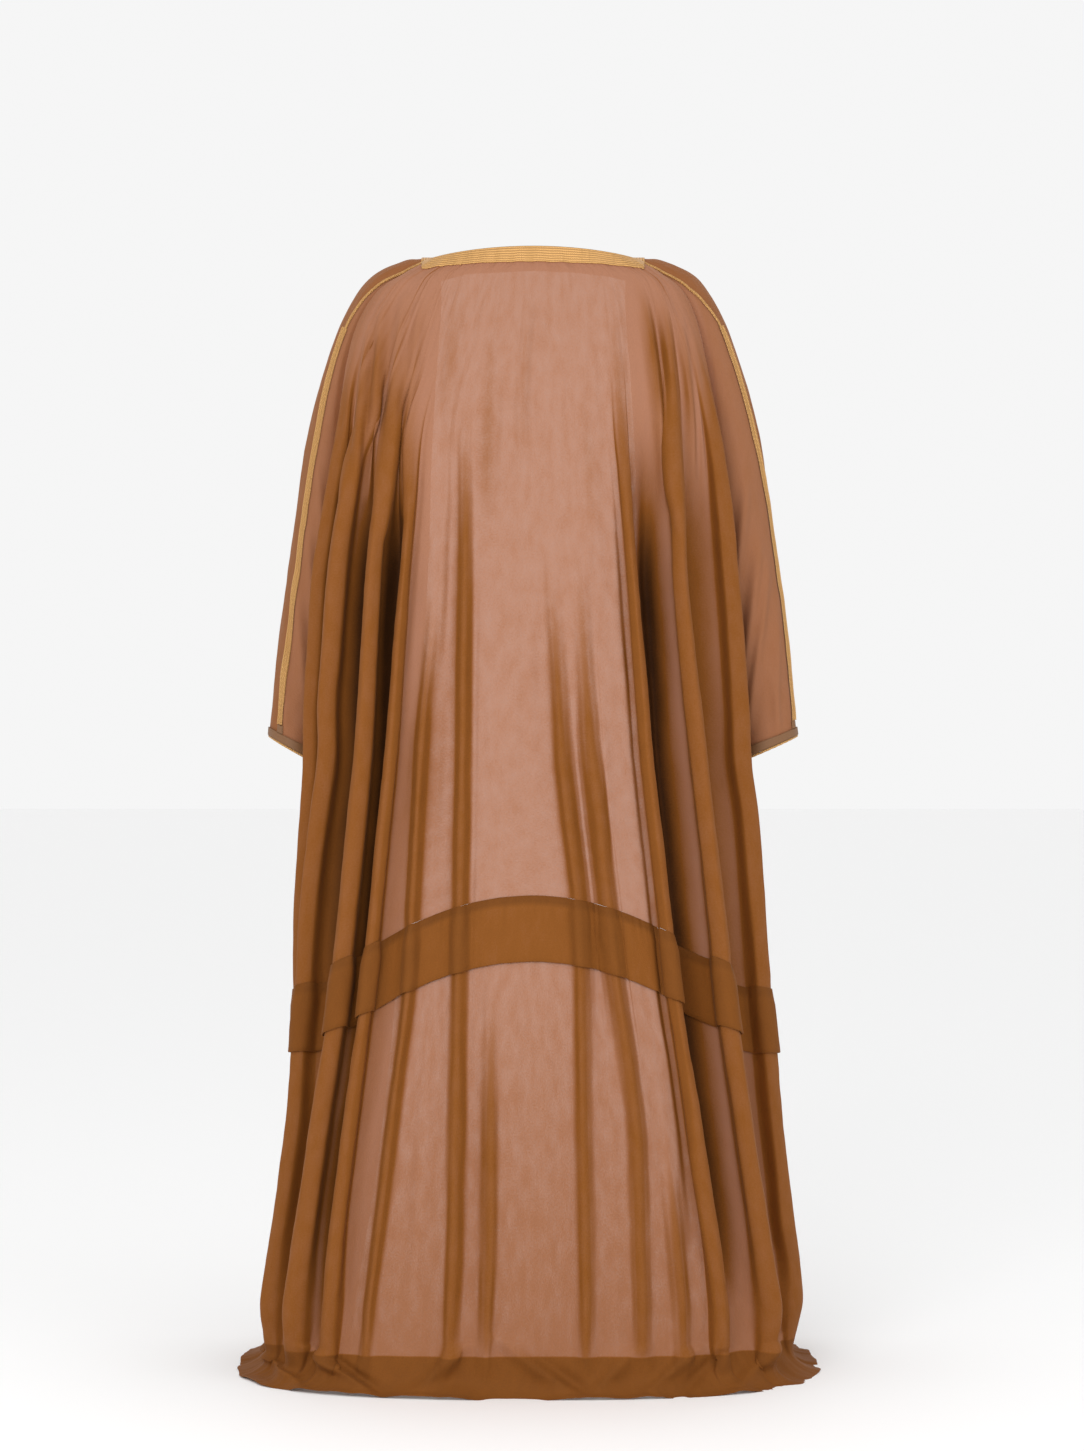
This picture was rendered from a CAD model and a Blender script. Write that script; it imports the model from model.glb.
"""The looks of a bisht, worn open: sheer crinkled cloth, woven gold bands and braid, a horizontal tuck and a
hem that lies on the floor. It is laid out as an add-on, with one operator for each group of like pieces.

Frame: metres, +Z up. The wearer faces -Y, so the back of the cloak is at +Y and the wearer's left is +X.
The origin is between the shoulders. Heights in the tables are above the floor, 1.5 m below it.
"""

from collections import namedtuple
import math

import bpy
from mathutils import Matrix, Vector, noise
import numpy as np


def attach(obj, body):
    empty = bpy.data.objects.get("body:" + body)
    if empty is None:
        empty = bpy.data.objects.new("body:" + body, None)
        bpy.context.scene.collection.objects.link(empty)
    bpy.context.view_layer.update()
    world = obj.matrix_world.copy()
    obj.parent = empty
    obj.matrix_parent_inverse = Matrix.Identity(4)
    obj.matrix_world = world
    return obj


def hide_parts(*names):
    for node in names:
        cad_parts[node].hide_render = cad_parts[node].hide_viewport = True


bl_info = {
    "name": "Bisht cloak",
    "version": (1, 0, 0),
    "blender": (4, 5, 0),
    "location": "View3D > Sidebar > Bisht",
    "description": "Makes the cloth, gold work and stage of a worn bisht round its packed solids",
    "category": "Object",
}

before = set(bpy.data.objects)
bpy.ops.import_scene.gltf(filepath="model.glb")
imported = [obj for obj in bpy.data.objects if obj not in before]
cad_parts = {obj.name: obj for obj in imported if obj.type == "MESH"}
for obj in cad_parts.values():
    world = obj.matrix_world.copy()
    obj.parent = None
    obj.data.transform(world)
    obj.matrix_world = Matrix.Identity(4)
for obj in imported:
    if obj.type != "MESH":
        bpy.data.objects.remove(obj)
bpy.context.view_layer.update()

SHOULDER_HEIGHT = 1.500  # origin above the floor

# One row for each level of the cloak, top to bottom: its height at the centre back and at the side line,
# where back and front part to go round the arm; how far out the side lines are; how far back the cloth is
# at the centre; and, along the front edge, its height, distance from the centre and distance forward.
Level = namedtuple("Level", "name centre_h side_h left right back edge_h edge_x front")
UPPER_LEVELS = (
    Level("neckline", 1.525, 1.508, 0.150, 0.150, 0.078, 1.500, 0.128, -0.053),
    Level("band foot", 1.503, 1.492, 0.176, 0.176, 0.086, 1.460, 0.129, -0.084),
    Level("shoulder", 1.488, 1.466, 0.212, 0.206, 0.092, 1.420, 0.132, -0.100),
    Level("shoulder end", 1.434, 1.416, 0.240, 0.226, 0.109, 1.375, 0.136, -0.110),
    Level("shoulder blade", 1.364, 1.347, 0.257, 0.238, 0.127, 1.315, 0.140, -0.118),
    Level("chest", 1.280, 1.265, 0.264, 0.244, 0.135, 1.240, 0.144, -0.124),
    Level("ribs", 1.180, 1.172, 0.269, 0.248, 0.141, 1.160, 0.146, -0.129),
    Level("waist", 1.085, 1.078, 0.277, 0.254, 0.146, 1.070, 0.150, -0.133),
    Level("forearm", 0.990, 0.985, 0.284, 0.262, 0.150, 0.980, 0.156, -0.137),
    Level("wrist", 0.910, 0.905, 0.291, 0.269, 0.154, 0.900, 0.162, -0.141),
    Level("hand", 0.842, 0.830, 0.295, 0.276, 0.158, 0.825, 0.168, -0.145),
    Level("seat", 0.785, 0.745, 0.296, 0.283, 0.162, 0.740, 0.175, -0.150),
    Level("thigh", 0.718, 0.630, 0.298, 0.289, 0.167, 0.625, 0.185, -0.157),
    Level("tuck line", 0.656, 0.520, 0.298, 0.293, 0.172, 0.505, 0.195, -0.164),
)
LOWER_LEVELS = (
    Level("below the tuck line", 0.6553, 0.5193, 0.298, 0.293, 0.172, 0.5043, 0.195, -0.164),
    Level("tuck edge", 0.570, 0.434, 0.299, 0.299, 0.179, 0.420, 0.203, -0.171),
    Level("knee", 0.470, 0.350, 0.304, 0.306, 0.185, 0.340, 0.212, -0.178),
    Level("below the knee", 0.370, 0.272, 0.314, 0.315, 0.190, 0.265, 0.221, -0.185),
    Level("calf", 0.280, 0.205, 0.324, 0.324, 0.195, 0.200, 0.231, -0.191),
    Level("shin", 0.200, 0.148, 0.334, 0.331, 0.199, 0.145, 0.240, -0.196),
    Level("above the ankle", 0.130, 0.100, 0.342, 0.335, 0.202, 0.100, 0.248, -0.200),
    Level("ankle", 0.072, 0.060, 0.348, 0.338, 0.205, 0.060, 0.254, -0.203),
    Level("heel", 0.040, 0.036, 0.353, 0.343, 0.209, 0.036, 0.257, -0.206),
    Level("hem turns out", 0.022, 0.021, 0.362, 0.352, 0.214, 0.020, 0.260, -0.209),
    Level("on the floor", 0.010, 0.010, 0.382, 0.370, 0.225, 0.010, 0.263, -0.216),
    Level("hem", 0.006, 0.006, 0.402, 0.390, 0.236, 0.006, 0.265, -0.225),
)

# Round the arm at each level from the neckline to the hand: the outermost line of the sleeve, half the depth
# of the sleeve from front to back, and how many degrees of the arm each half wraps.
Arm = namedtuple("Arm", "outer_x outer_h depth wrap")
ARM_LEVELS = (
    Arm(0.152, 1.520, 0.040, 90),
    Arm(0.180, 1.516, 0.050, 92),
    Arm(0.226, 1.491, 0.058, 96),
    Arm(0.262, 1.434, 0.062, 102),
    Arm(0.289, 1.358, 0.062, 108),
    Arm(0.311, 1.272, 0.060, 116),
    Arm(0.324, 1.178, 0.058, 124),
    Arm(0.337, 1.083, 0.055, 132),
    Arm(0.350, 0.988, 0.052, 142),
    Arm(0.357, 0.920, 0.050, 155),
    Arm(0.362, 0.868, 0.048, 178),
)
ARM_Y = -0.012  # the arms hang a little forward of the origin
ARM_COLUMNS = 12

# The folds of the back, from the wearer's right to the left. Each has the distance of its crest from the
# centre at six heights, its half width high up and low down, how proud its crest stands, how far its sides
# close in under it as a share of the half width, how deep the valley beyond it is, and the height it starts
# at. The six heights are FOLD_HEIGHTS.
FOLD_HEIGHTS = (1.30, 1.07, 0.84, 0.52, 0.20, 0.03)
Fold = namedtuple("Fold", "name chest waist hip knee shin hem half_top half_low depth lap valley top")
BACK_FOLDS = (
    Fold("right side", -0.236, -0.249, -0.266, -0.290, -0.322, -0.350, 0.013, 0.021, 0.034, 0.45, 0.020, 1.44),
    Fold("right outer", -0.186, -0.188, -0.209, -0.243, -0.288, -0.312, 0.009, 0.015, 0.036, 0.50, 0.040, 1.40),
    Fold("right inner", -0.116, -0.131, -0.148, -0.183, -0.232, -0.254, 0.007, 0.011, 0.022, 0.40, 0.004, 1.36),
    Fold("right low", -0.130, -0.140, -0.150, -0.160, -0.188, -0.202, 0.012, 0.015, 0.010, 0.00, 0.003, 0.46),
    Fold("right soft", -0.080, -0.098, -0.114, -0.132, -0.140, -0.146, 0.012, 0.016, 0.011, 0.00, 0.003, 1.12),
    Fold("right centre", -0.048, -0.056, -0.060, -0.062, -0.068, -0.071, 0.013, 0.017, 0.012, 0.00, 0.002, 1.14),
    Fold("left low", 0.040, 0.044, 0.048, 0.053, 0.055, 0.061, 0.012, 0.016, 0.010, 0.00, 0.003, 0.62),
    Fold("left centre", 0.088, 0.090, 0.092, 0.098, 0.104, 0.111, 0.011, 0.015, 0.012, 0.00, 0.004, 1.34),
    Fold("left soft", 0.120, 0.131, 0.147, 0.163, 0.202, 0.222, 0.010, 0.014, 0.012, 0.00, 0.004, 1.12),
    Fold("left inner", 0.154, 0.168, 0.184, 0.214, 0.254, 0.268, 0.007, 0.011, 0.024, 0.40, 0.034, 1.36),
    Fold("left second", 0.190, 0.205, 0.216, 0.245, 0.290, 0.313, 0.009, 0.016, 0.036, 0.50, 0.026, 1.40),
    Fold("left third", 0.226, 0.256, 0.270, 0.287, 0.321, 0.343, 0.012, 0.015, 0.036, 0.50, 0.020, 1.42),
    Fold("left side", 0.262, 0.290, 0.300, 0.306, 0.336, 0.360, 0.011, 0.015, 0.030, 0.45, 0.014, 1.40),
)
WIDTH_HEIGHTS = (0.2, 1.2)  # where a fold has its low and its high half width
FOLD_GROWS_OVER = 0.34  # height in which a fold reaches its full depth
SETTLED_SHARE = 0.14  # what is left of a fold's depth where the cloth lies on the floor
SETTLES_BELOW = 0.10
LAPS_OPEN_BELOW = 0.26  # the folds open out towards the hem
HEM_FANS_BELOW = 0.10  # and below this height run straight out
SIDE_SHARE = 0.62  # of a fold's depth, where it is widest
SPLAY = 0.7  # how much wider a fold's feet are where it is still flat
STEEPEST_VALLEY = 0.95  # depth of a valley for its width
LEAST_VALLEY = 0.012  # between two folds
END_MARGIN = 0.009  # from the last fold to the side line
ARM_CLEARANCE = 0.018  # from the last fold to the bulge of the sleeve

# The folds of each front, from the side line to the front edge, placed by their share of the way from the
# first to the last.
FrontFold = namedtuple("FrontFold", "share half_top half_low depth valley top")
FRONT_FOLDS = (
    FrontFold(0.00, 0.010, 0.015, 0.026, 0.016, 1.40),
    FrontFold(0.33, 0.011, 0.016, 0.030, 0.020, 1.44),
    FrontFold(0.68, 0.010, 0.014, 0.026, 0.014, 1.42),
    FrontFold(1.00, 0.009, 0.012, 0.018, 0.006, 1.36),
)

# Where the pieces that lie on a panel run
SEAM_GAP = 0.00006
NORMAL_REACH = 0.004  # each way along the plan, to find which way is out
BAND_WIDTH = 0.022
SEAM_COLUMNS = {  # the gold braid's column of the sleeve at each level
    "left": (0.5, 0.5, 1.0, 2.0, 2.3, 2.6, 3.2, 3.3, 3.4, 3.6, 4.0),
    "right": (11.5, 11.5, 11.0, 9.0, 8.5, 8.0, 7.0, 7.0, 7.0, 7.0, 7.0),
}
BRAID_LEAN = math.radians(20)
CORD_ENDS = 3.1  # levels down from the neck, where the twisted cord becomes the flat braid
BINDING_SHARE = 0.20  # of the sleeve's last level
TAB_SHARE = 0.42
TAB_WIDTH = 0.011

ROUNDNESS = 2.7  # of a level's plan: 2 is an ellipse, more is squarer
CURVE_STEPS = 240
FULL_GIRTH = 0.62  # of the back and of each front, above which their folds have their full width
FULL_FRONT = 0.25
NECKLINE_FIRST_FOLD = 0.2  # of the way along a front's top edge
EDGE_SHARE = 0.36  # most of a front's girth that the strip under its gold band takes
SLEEVE_STANDS_OUT = 0.00005  # from the side line that it is sewn to
EDGE_TRIM = 0.00002  # cut off each side edge


def smooth(share):
    """0 to 1, with an easy start and end."""
    share = min(max(share, 0.0), 1.0)
    return share * share * (3 - 2 * share)


def side_depth(levels, index):
    """How far the back cloth stands behind the arm's middle at the side line; the front stands as far ahead.
    Below the hand they are sewn to each other."""
    if levels is UPPER_LEVELS and index < len(ARM_LEVELS):
        arm = ARM_LEVELS[index]
        return arm.depth * math.sin(math.radians(arm.wrap))
    return SEAM_GAP / 2 - EDGE_TRIM


def side_margin(levels, index):
    """From the side line to the first fold: past the bulge of the sleeve, and less and less below the hand."""
    hand = len(ARM_LEVELS) - 1
    if levels is UPPER_LEVELS and index <= hand:
        return ARM_LEVELS[index].depth - side_depth(levels, index) + ARM_CLEARANCE
    top, bottom = UPPER_LEVELS[hand].side_h, UPPER_LEVELS[-1].side_h
    left = smooth((levels[index].side_h - bottom) / (top - bottom))
    return END_MARGIN + left * (side_margin(UPPER_LEVELS, hand) - END_MARGIN)


def quarter(share):
    """One quarter of the plan: how far across and how far out the curve is at this share of the turn."""
    turn = share * math.pi / 2
    return math.sin(turn) ** (2 / ROUNDNESS), math.cos(turn) ** (2 / ROUNDNESS)


class Plan:
    """A level's plain plan line, before folds, measured by the distance along it."""

    def __init__(self, points):
        self.points = np.array(points)
        steps = np.linalg.norm(np.diff(self.points[:, :2], axis=0), axis=1)
        self.along = np.concatenate(([0.0], np.cumsum(steps)))
        self.length = self.along[-1]

    def at(self, along, out=0.0):
        """The point this far along the line, moved out from the body by a fold."""
        along = min(max(along, 0.0), self.length)
        near, ahead, behind = (self._point(along + step) for step in (0.0, NORMAL_REACH, -NORMAL_REACH))
        run = ahead - behind
        outward = np.array((-run[1], run[0], 0.0)) / math.hypot(run[0], run[1])
        return near + outward * out

    def _point(self, along):
        along = min(max(along, 0.0), self.length)
        return np.array([np.interp(along, self.along, self.points[:, axis]) for axis in range(3)])

    def along_at_x(self, x):
        order = np.argsort(self.points[:, 0])
        return float(np.interp(x, self.points[order, 0], self.along[order]))


def back_plan(levels, index):
    """From the right side line round the back to the left side line."""
    level = levels[index]
    side_y = ARM_Y + side_depth(levels, index)
    points = []
    for step in range(-CURVE_STEPS, CURVE_STEPS + 1):
        across, out = quarter(abs(step) / CURVE_STEPS)
        reach = level.left if step > 0 else -level.right
        height = level.centre_h + (level.side_h - level.centre_h) * across**2
        points.append((reach * across, side_y + (level.back - side_y) * out, height))
    return Plan(points)


def front_plan(levels, index, side):
    """From the side line round to the front edge."""
    level = levels[index]
    reach = level.left if side > 0 else level.right
    side_y = ARM_Y - side_depth(levels, index)
    points = []
    for step in range(CURVE_STEPS + 1):
        across, out = quarter(1 - step / CURVE_STEPS)
        height = level.edge_h + (level.side_h - level.edge_h) * across
        x = level.edge_x + (reach - level.edge_x) * across
        points.append((side * x, side_y + (level.front - side_y) * out, height))
    return Plan(points if side > 0 else points[::-1])


def grown(top, height):
    """0 above the top of a fold and 1 well below it."""
    return smooth((top - height) / FOLD_GROWS_OVER)


def swell(top, height):
    """How much of its depth a fold has at this height: less again where the cloth lies on the floor."""
    return grown(top, height) * (SETTLED_SHARE + (1 - SETTLED_SHARE) * smooth(height / SETTLES_BELOW))


def lapped(top, height):
    """How much of its lap a fold has at this height."""
    return grown(top, height) * smooth(max(height, HEM_FANS_BELOW) / LAPS_OPEN_BELOW)


def half_width(fold, height):
    return np.interp(height, WIDTH_HEIGHTS, (fold.half_low, fold.half_top))


def fold_x(fold, height, level, neck_line):
    """The crest's distance from the centre. Above the chest the folds fan in towards the neck."""
    x = np.interp(-height, [-h for h in FOLD_HEIGHTS], fold[1:7])
    reach = level.left if x > 0 else level.right
    chest = neck_line.left if x > 0 else neck_line.right
    return x * min(1.0, reach / chest) if height > FOLD_HEIGHTS[0] else x


def spread(centres, halves, length, margin, valley):
    """Moves crests along the line until each has its feet and a valley to itself, the outermost first."""
    placed = list(centres)
    last = len(placed) - 1
    placed[0] = max(placed[0], halves[0] + margin)
    placed[last] = min(placed[last], length - halves[last] - margin)
    middle = len(placed) // 2
    for i in range(1, middle):
        placed[i] = max(placed[i], placed[i - 1] + halves[i - 1] + halves[i] + valley)
    for i in range(last - 1, middle - 1, -1):
        placed[i] = min(placed[i], placed[i + 1] - halves[i + 1] - halves[i] - valley)
    return placed


def fold_points(plan, centre, half, depth, foot):
    """Foot, side, crest, side, foot; the feet lie closer in than the sides where the fold laps over itself."""
    if foot is None:
        return [plan.at(centre - half), plan.at(centre, depth), plan.at(centre + half)]
    return [
        plan.at(centre - foot),
        plan.at(centre - half, SIDE_SHARE * depth),
        plan.at(centre, depth),
        plan.at(centre + half, SIDE_SHARE * depth),
        plan.at(centre + foot),
    ]


def folded_line(plan, centres, halves, depths, feet, valleys):
    """The level's line with its folds, as control points: one between each two folds and one at each end."""
    line = [plan.at(EDGE_TRIM)]
    for i, centre in enumerate(centres):
        line += fold_points(plan, centre, halves[i], depths[i], feet[i])
        if i + 1 < len(centres):
            near = centre + (feet[i] or halves[i])
            far = centres[i + 1] - (feet[i + 1] or halves[i + 1])
            line.append(plan.at(0.5 * (near + far), -min(valleys[i], STEEPEST_VALLEY * (far - near))))
    return line + [plan.at(plan.length - EDGE_TRIM)]


def back_grid(levels):
    chest = next(level for level in UPPER_LEVELS if level.name == "chest")
    rows = []
    for index, level in enumerate(levels):
        plan = back_plan(levels, index)
        narrow = min(1.0, plan.length / FULL_GIRTH)
        centres, halves, depths, feet, valleys = [], [], [], [], []
        for fold in BACK_FOLDS:
            height = level.centre_h
            for _ in range(2):
                along = plan.along_at_x(fold_x(fold, height, level, chest))
                height = plan.at(along)[2]
            swollen = swell(fold.top, height)
            half = half_width(fold, height) * narrow
            lap = lapped(fold.top, height)
            centres.append(along)
            halves.append(half)
            depths.append(fold.depth * swollen)
            feet.append(half * (1 + SPLAY * (1 - lap) - fold.lap * lap) if fold.lap else None)
            valleys.append(fold.valley * swollen * lap)
        room = [max(half, foot or 0.0) for half, foot in zip(halves, feet)]
        if level.centre_h > HEM_FANS_BELOW:
            centres = spread(centres, room, plan.length, side_margin(levels, index) * narrow, LEAST_VALLEY * narrow)
            shares = [centre / plan.length for centre in centres]
        else:
            centres = [share * plan.length for share in shares]
        rows.append(folded_line(plan, centres, halves, depths, feet, valleys))
    return np.array(rows)


def front_grid(levels, side):
    """The last two columns are the strip that the gold band lies on."""
    rows = []
    for index in range(len(levels)):
        plan = front_plan(levels, index, side)
        height = levels[index].side_h
        room = min(1.0, plan.length / FULL_FRONT)
        band = min(BAND_WIDTH, EDGE_SHARE * plan.length)
        folds = FRONT_FOLDS
        halves = [half_width(fold, height) * room for fold in folds]
        swollen = [swell(fold.top, height) * room for fold in folds]
        first = side_margin(levels, index) + halves[0] if index else NECKLINE_FIRST_FOLD * plan.length
        last = plan.length - band - halves[-1]
        centres = [first + (last - first) * fold.share for fold in folds]
        if side < 0:
            centres = [plan.length - centre for centre in centres][::-1]
            halves, swollen, folds = halves[::-1], swollen[::-1], folds[::-1]
        depths = [fold.depth * share for fold, share in zip(folds, swollen)]
        valleys = [fold.valley * share for fold, share in zip(folds, swollen)]
        rows.append(folded_line(plan, centres, halves, depths, [None] * len(folds), valleys))
    return np.array(rows)


def arm_point(index, side, turn):
    """On the sleeve at this level, at this many degrees round the arm from its outermost line to the back."""
    arm, level = ARM_LEVELS[index], UPPER_LEVELS[index]
    inner = np.array(((level.left if side > 0 else level.right) + SLEEVE_STANDS_OUT, level.side_h))
    outer = np.array((arm.outer_x, arm.outer_h))
    closing = 1 - math.cos(math.radians(arm.wrap))
    out = 1 - (1 - math.cos(math.radians(turn))) / closing
    x, height = inner + (outer - inner) * out
    return (side * x, ARM_Y + arm.depth * math.sin(math.radians(turn)), height)


def sleeve_grid(side):
    """Rows down the arm, columns over the outside of the arm from one side line to the other."""
    rows = []
    for index, arm in enumerate(ARM_LEVELS):
        wrap = side * (arm.wrap - math.degrees(EDGE_TRIM / arm.depth))
        rows.append([arm_point(index, side, turn) for turn in np.linspace(wrap, -wrap, ARM_COLUMNS + 1)])
    return np.array(rows)


# Fine shape

ROWS_A_LEVEL = 12
POINTS_A_FOLD = 8
FOLD_REACH = 0.040  # the cloth's plain form is its folds averaged over about this length
CREST_TONE = 0.42  # on the crest of a fold that stands from the first to the second of these proud of the plain form
CREST_PROUD = (0.0012, 0.0050)
STEEP_TONE = 1.5
STEEP_MOST = 0.50
VALLEY_TONE = 56.0  # for each metre that a valley lies in from the plain form
VALLEY_FROM = 0.005
SOFT_ROWS = 21  # the tone is averaged over this many rows down the cloth
LYING_BELOW = 0.045  # the folds smooth out below this height, where the cloth lies on the floor
HEM_DROP = 0.0012
POOLED = 0.0065  # height of the soft folds that the cloth makes on the floor
FLOOR = 0.0036  # the hem's height where it touches down
SEWN_EDGE = 0.018  # the crinkle fades out towards seams
FACING_OFF = 0.0022
HEM_OFF = 0.0020
TUCK_OFF = 0.0034  # the outer of the tuck's two layers
TUCK_INNER = 0.0014
BAND_OFF = 0.0012  # middle of the gold band from the middle of the cloth
SHOULDER_OFF = 0.0009
BAND_END = 0.026  # of the neck band, where its ribs run across
BRAID_OFF = 0.0010
HEM_LEVEL = 7.5  # where the turned-up hem starts, in levels of the lower part
HEM_TONE = 0.50
LOWER_TONE = 0.22  # at the foot of the lower part, where the cloth is closer
SLEEVE_SHARE = 0.5  # of a fold's tone, on the sleeves, whose own roundness counts as a fold
STRIP_TONE = 0.34  # of the sleeve in front of its braid
SHARE_UNDER = 0.3  # of a fold's tone, where layers lie on each other
STITCH_TONE = 0.64  # along a line of stitching
PLY_TONE = 0.45  # of the tuck, the hem and the facing, where layers lie on each other

# Soft creases of the back and fronts that the main folds don't give, placed by hand. Where each starts and
# ends: distance from the centre and height; then its half width and how proud it stands, or how deep.
Crease = namedtuple("Crease", "name x_top h_top x_low h_low half depth")
BACK_CREASES = (
    Crease("left blade", 0.173, 1.462, 0.198, 1.120, 0.0085, 0.0115),
    Crease("left blade shade", 0.150, 1.450, 0.176, 1.150, 0.0085, 0.0085),
    Crease("left shoulder", 0.200, 1.450, 0.222, 1.170, 0.0080, 0.0115),
    Crease("left shoulder point", 0.218, 1.430, 0.238, 1.190, 0.0060, 0.0085),
    Crease("left shoulder valley", 0.211, 1.400, 0.230, 1.180, 0.0050, -0.0060),
    Crease("left arm", 0.240, 1.375, 0.258, 1.180, 0.0060, 0.0055),
    Crease("right blade", -0.148, 1.460, -0.184, 1.160, 0.0085, 0.0110),
    Crease("right blade shade", -0.162, 1.440, -0.192, 1.240, 0.0060, -0.0050),
    Crease("right shoulder", -0.177, 1.460, -0.193, 1.130, 0.0080, 0.0110),
    Crease("right shoulder point", -0.198, 1.440, -0.217, 1.170, 0.0070, 0.0090),
    Crease("right arm", -0.214, 1.400, -0.232, 1.180, 0.0060, 0.0050),
    Crease("nape left", 0.052, 1.470, 0.066, 1.150, 0.0160, 0.0035),
    Crease("nape", 0.007, 1.450, 0.021, 1.200, 0.0090, 0.0030),
    Crease("nape right", -0.060, 1.460, -0.082, 1.120, 0.0150, 0.0030),
    Crease("centre left", 0.104, 1.480, 0.112, 1.240, 0.0110, 0.0035),
    Crease("centre right", -0.106, 1.470, -0.118, 1.230, 0.0110, 0.0035),
    Crease("waist left", 0.030, 1.120, 0.022, 0.820, 0.0120, 0.0022),
    Crease("waist right", -0.012, 1.060, -0.020, 0.740, 0.0140, -0.0020),
    Crease("seat left", 0.124, 0.980, 0.132, 0.700, 0.0100, -0.0030),
    Crease("seat right", -0.088, 0.960, -0.096, 0.690, 0.0100, 0.0028),
    Crease("calf left", 0.026, 0.520, 0.030, 0.080, 0.0110, 0.0030),
    Crease("calf", -0.014, 0.560, -0.022, 0.070, 0.0130, 0.0034),
    Crease("calf right", -0.100, 0.500, -0.110, 0.060, 0.0110, 0.0032),
    Crease("shin left", 0.138, 0.470, 0.160, 0.060, 0.0100, 0.0034),
    Crease("shin right", -0.208, 0.440, -0.226, 0.070, 0.0090, 0.0032),
    Crease("pooled left end", 0.380, 0.040, 0.300, 0.002, 0.0160, 0.0100),
    Crease("pooled left", 0.300, 0.060, 0.215, 0.003, 0.0150, 0.0110),
    Crease("pooled left hollow", 0.270, 0.050, 0.190, 0.003, 0.0130, -0.0070),
    Crease("pooled left of centre", 0.088, 0.075, 0.150, 0.004, 0.0150, 0.0110),
    Crease("pooled centre", 0.046, 0.085, -0.050, 0.004, 0.0170, 0.0120),
    Crease("pooled centre hollow", 0.020, 0.070, -0.080, 0.003, 0.0140, -0.0070),
    Crease("pooled right", -0.135, 0.070, -0.080, 0.003, 0.0160, 0.0100),
    Crease("pooled right of centre", -0.215, 0.065, -0.150, 0.003, 0.0150, 0.0100),
    Crease("pooled right hollow", -0.255, 0.060, -0.190, 0.003, 0.0130, -0.0070),
    Crease("pooled right end", -0.330, 0.060, -0.270, 0.003, 0.0170, 0.0110),
)
LEFT_SLEEVE_CREASES = (
    Crease("elbow", 0.292, 1.240, 0.276, 0.990, 0.0060, 0.0050),
    Crease("forearm", 0.306, 1.150, 0.288, 0.900, 0.0060, 0.0050),
    Crease("cuff", 0.322, 1.090, 0.306, 0.860, 0.0070, 0.0040),
    Crease("cuff edge", 0.334, 1.020, 0.338, 0.850, 0.0050, 0.0030),
)
RIGHT_SLEEVE_CREASES = (
    Crease("elbow", -0.289, 1.213, -0.270, 0.995, 0.0070, 0.0090),
    Crease("forearm", -0.308, 1.133, -0.282, 0.900, 0.0070, 0.0090),
    Crease("cuff", -0.320, 1.111, -0.292, 0.864, 0.0060, 0.0080),
    Crease("cuff edge", -0.333, 1.068, -0.330, 0.850, 0.0050, 0.0035),
    Crease("cuff corner", -0.322, 0.961, -0.338, 0.850, 0.0050, 0.0030),
)
FRONT_CREASES = (
    Crease("breast", 0.170, 1.330, 0.182, 1.050, 0.0080, 0.0030),
    Crease("breast side", 0.214, 1.300, 0.222, 1.060, 0.0070, 0.0028),
    Crease("lap", 0.196, 0.960, 0.208, 0.680, 0.0080, 0.0026),
    Crease("thigh", 0.236, 0.880, 0.244, 0.600, 0.0080, -0.0024),
    Crease("knee", 0.232, 0.470, 0.262, 0.090, 0.0090, 0.0028),
    Crease("shin", 0.276, 0.420, 0.296, 0.070, 0.0080, 0.0026),
)

# The facing's lower edge: distance from the centre and height
FACING_EDGE = (
    (-0.230, 1.405), (-0.170, 1.452), (-0.158, 1.466), (-0.143, 1.474), (-0.100, 1.484), (-0.056, 1.489),
    (0.000, 1.491), (0.090, 1.487), (0.136, 1.474), (0.163, 1.462), (0.182, 1.449), (0.200, 1.424), (0.230, 1.360),
)


def eased(points, steps):
    """A smooth line through points along the first axis, with this many steps from each to the next."""
    ends = (2 * points[:1] - points[1:2], 2 * points[-1:] - points[-2:-1])
    padded = np.concatenate((ends[0], points, ends[1]))
    line = []
    for i in range(len(points) - 1):
        before, start, stop, after = padded[i : i + 4]
        for step in range(steps):
            t = step / steps
            square = (2 * before - 5 * start + 4 * stop - after) * t * t
            cube = (3 * start - before - 3 * stop + after) * t**3
            line.append(0.5 * (2 * start + (stop - before) * t + square + cube))
    return np.array(line + [points[-1]])


def unit(vectors):
    return vectors / np.linalg.norm(vectors, axis=-1, keepdims=True)


class Surface:
    """A fine grid of points, rows down and columns across, with its normals and its flat place in metres."""

    def __init__(self, points):
        self.points = points
        self.normals = unit(np.cross(np.gradient(points, axis=1), np.gradient(points, axis=0)))
        across = np.linalg.norm(np.diff(points, axis=1), axis=2).mean(axis=0)
        down = np.linalg.norm(np.diff(points, axis=0), axis=2).mean(axis=1)
        self.u = np.concatenate(([0.0], np.cumsum(across)))
        self.v = np.concatenate(([0.0], np.cumsum(down)))

    def moved(self, distance):
        return Surface(self.points + self.normals * np.broadcast_to(distance, self.points.shape[:2])[..., None])

    def at(self, row, column, out=0.0):
        """The point at any share of the way between rows and columns, moved out from the surface."""
        r = min(int(row), len(self.points) - 2)
        c = min(int(column), self.points.shape[1] - 2)
        s, t = row - r, column - c
        weights = (((1 - s) * (1 - t), r, c), ((1 - s) * t, r, c + 1), (s * (1 - t), r + 1, c), (s * t, r + 1, c + 1))
        return sum(w * (self.points[i, j] + out * self.normals[i, j]) for w, i, j in weights)


def refined(grid, rows=ROWS_A_LEVEL, columns=POINTS_A_FOLD):
    return eased(eased(grid, rows).swapaxes(0, 1), columns).swapaxes(0, 1)


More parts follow.
